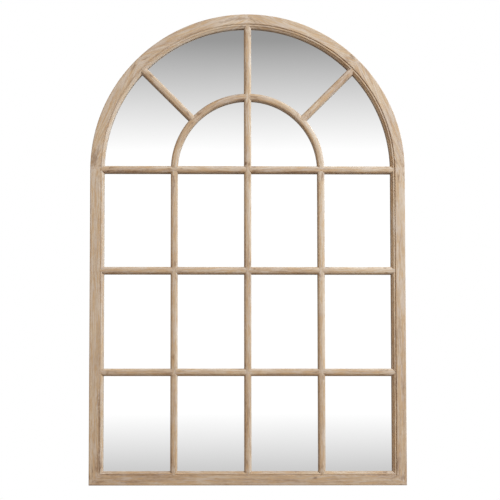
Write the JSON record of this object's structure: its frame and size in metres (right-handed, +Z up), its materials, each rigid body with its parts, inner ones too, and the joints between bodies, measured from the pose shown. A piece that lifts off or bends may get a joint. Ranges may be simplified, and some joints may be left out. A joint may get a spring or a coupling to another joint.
{
  "type": "arched window mirror",
  "caption": "Wall mirror shaped as an arched window: moulded limewashed wooden frame and glazing bars over a mirror plate, with a backing board and hinged D-ring hangers.",
  "frame": {"origin": "middle of the bottom edge's underside, halfway through the frame's depth", "axes": "+X to the right as seen from the front, +Y from the front towards the wall, +Z up"},
  "size_m": [0.8, 0.0286, 1.2],
  "materials": {
    "limewashed_fir": "limewashed and wiped, satin",
    "beech": "bare",
    "mirror_plate": "polished",
    "fibreboard": "smooth hardboard",
    "zinc_steel": "bright zinc plated",
    "bumper_rubber": "matt"
  },
  "bodies": {
    "mirror": {"stile_left": "limewashed_fir", "stile_right": "limewashed_fir", "bottom_rail": "limewashed_fir", "arch_lower_left": "limewashed_fir", "arch_upper_left": "limewashed_fir", "arch_upper_right": "limewashed_fir", "arch_lower_right": "limewashed_fir", "left_bar": "limewashed_fir", "centre_bar": "limewashed_fir", "right_bar": "limewashed_fir", "transom": "limewashed_fir", "lower_cross_bar": "limewashed_fir", "upper_cross_bar": "limewashed_fir", "inner_arch_left": "limewashed_fir", "inner_arch_right": "limewashed_fir", "diagonal_left": "limewashed_fir", "diagonal_right": "limewashed_fir", "arch_tenons": "beech", "corner_tenons": "beech", "mirror_glass": "mirror_plate", "backing_board": "fibreboard", "framers_points": "zinc_steel", "hanger_screws": "zinc_steel", "strap_left": "zinc_steel", "strap_right": "zinc_steel", "bumper_left": "bumper_rubber", "bumper_right": "bumper_rubber"},
    "ring_left": {"ring_left": "zinc_steel"},
    "ring_right": {"ring_right": "zinc_steel"}
  },
  "joints": [
    {"name": "left_ring_hinge", "type": "hinge", "parent": "mirror", "child": "ring_left", "pos_m": [-0.3865, 0.0143, 0.74], "axis": [-1, 0, 0], "range_deg": [0, 177]},
    {"name": "right_ring_hinge", "type": "hinge", "parent": "mirror", "child": "ring_right", "pos_m": [0.3865, 0.0143, 0.74], "axis": [-1, 0, 0], "range_deg": [0, 177]}
  ]
}
